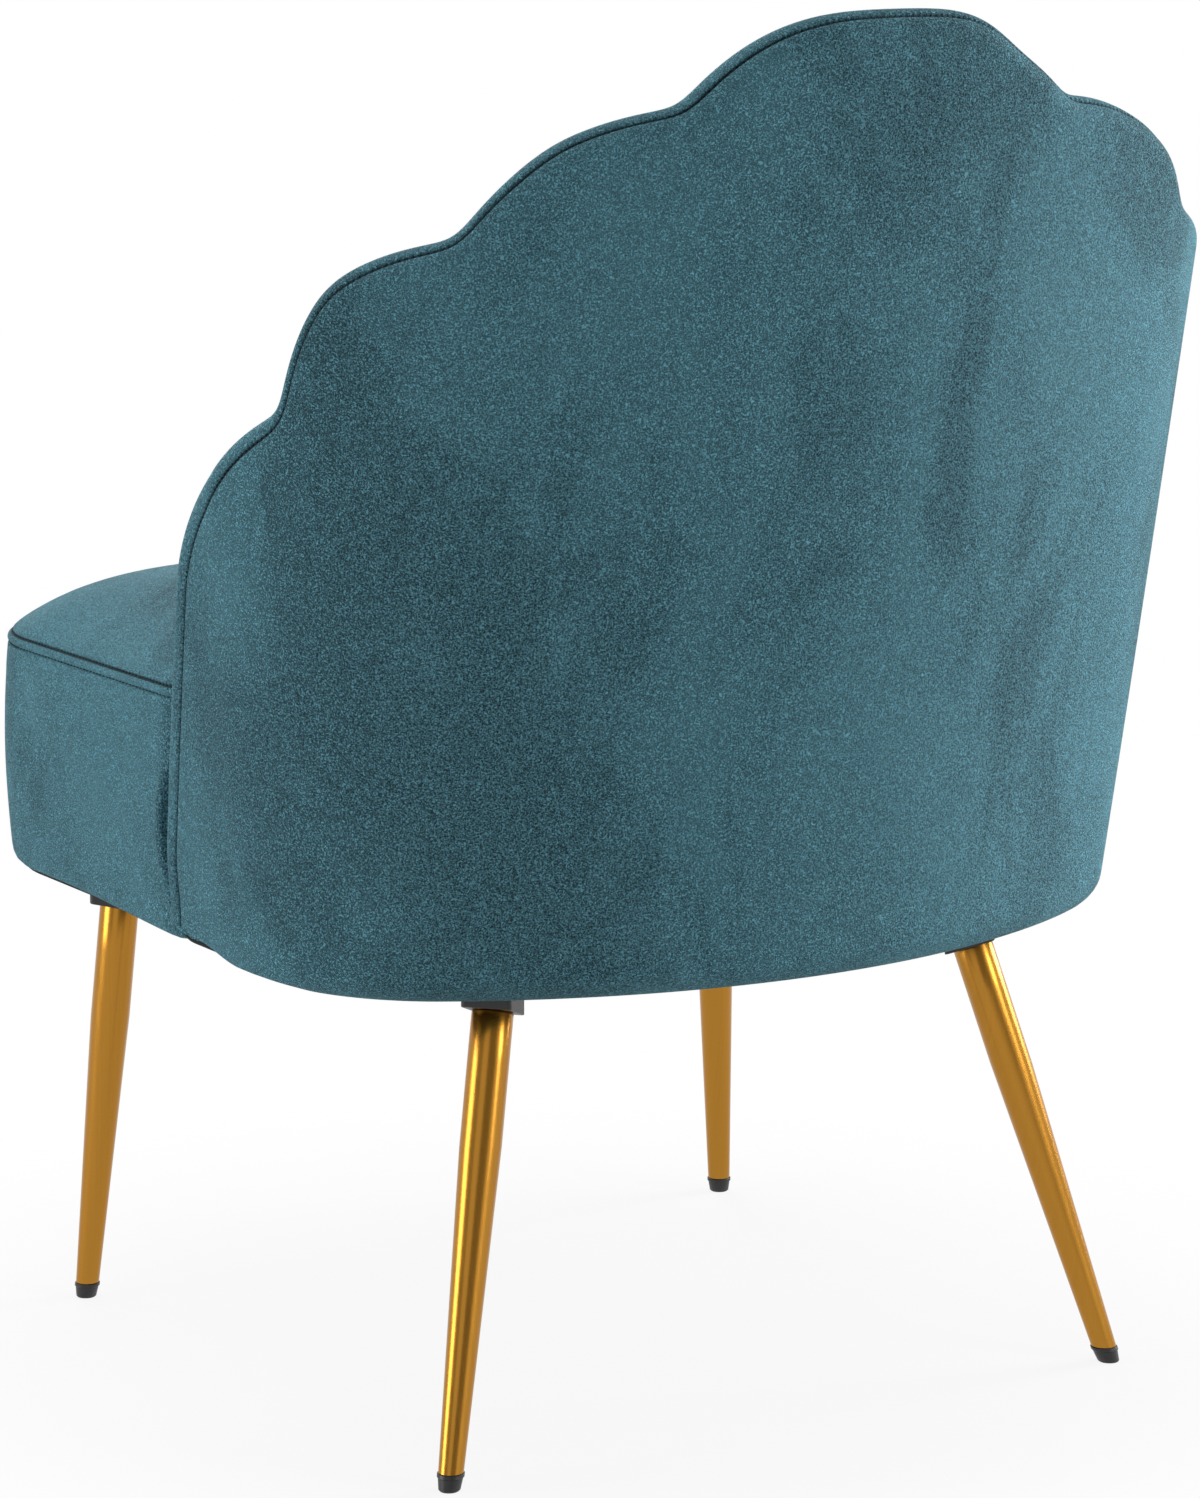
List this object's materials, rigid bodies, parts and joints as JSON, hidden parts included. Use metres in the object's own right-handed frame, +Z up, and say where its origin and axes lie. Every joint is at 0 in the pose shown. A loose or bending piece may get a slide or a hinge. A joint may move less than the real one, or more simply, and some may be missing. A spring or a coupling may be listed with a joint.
{
  "type": "scallop back chair",
  "caption": "Armless velvet accent chair with a curved scallop shell back, a thick crowned seat and slim splayed metal legs.",
  "frame": {"origin": "on the floor, under the centre of the chair's box", "axes": "+Z up, the chair faces -Y, and +X is the sitter's left"},
  "size_m": [0.649, 0.6966, 0.8526],
  "materials": {
    "velvet": "crushed velvet, soft sheen",
    "gold_metal": "polished gold plating",
    "black_plastic": "matte moulded",
    "steel": "zinc plated",
    "wood": "sawn, bare",
    "plywood": "bent, bare",
    "foam": "open cell foam",
    "felt": "needled felt",
    "lining": "thin black nonwoven"
  },
  "bodies": {
    "root": {"leg_tube_front_left": "gold_metal", "foot_cap_front_left": "black_plastic", "leg_block_front_left": "black_plastic", "leg_stud_front_left": "steel", "leg_nut_front_left": "steel", "leg_tube_front_right": "gold_metal", "foot_cap_front_right": "black_plastic", "leg_block_front_right": "black_plastic", "leg_stud_front_right": "steel", "leg_nut_front_right": "steel", "leg_tube_rear_left": "gold_metal", "foot_cap_rear_left": "black_plastic", "leg_block_rear_left": "black_plastic", "leg_stud_rear_left": "steel", "leg_nut_rear_left": "steel", "leg_tube_rear_right": "gold_metal", "foot_cap_rear_right": "black_plastic", "leg_block_rear_right": "black_plastic", "leg_stud_rear_right": "steel", "leg_nut_rear_right": "steel", "seat_rail_front": "wood", "seat_rail_rear": "wood", "seat_rail_left": "wood", "seat_rail_right": "wood", "front_corner_left": "wood", "front_corner_right": "wood", "corner_block_left": "wood", "corner_block_right": "wood", "shell_batten": "wood", "back_frame": "plywood", "shell_bolt_left_1": "steel", "shell_bolt_left_2": "steel", "shell_bolt_right_1": "steel", "shell_bolt_right_2": "steel", "shell_bolt_rear_left": "steel", "shell_bolt_rear_right": "steel", "seat_spring_1": "steel", "spring_clip_front_1": "steel", "spring_clip_rear_1": "steel", "seat_spring_2": "steel", "spring_clip_front_2": "steel", "spring_clip_rear_2": "steel", "seat_spring_3": "steel", "spring_clip_front_3": "steel", "spring_clip_rear_3": "steel", "seat_spring_4": "steel", "spring_clip_front_4": "steel", "spring_clip_rear_4": "steel", "deck_felt": "felt", "seat_foam": "foam", "back_foam": "foam", "seat_cover": "velvet", "inner_back_cover": "velvet", "outer_back_cover": "velvet", "dust_cover": "lining"}
  },
  "joints": []
}
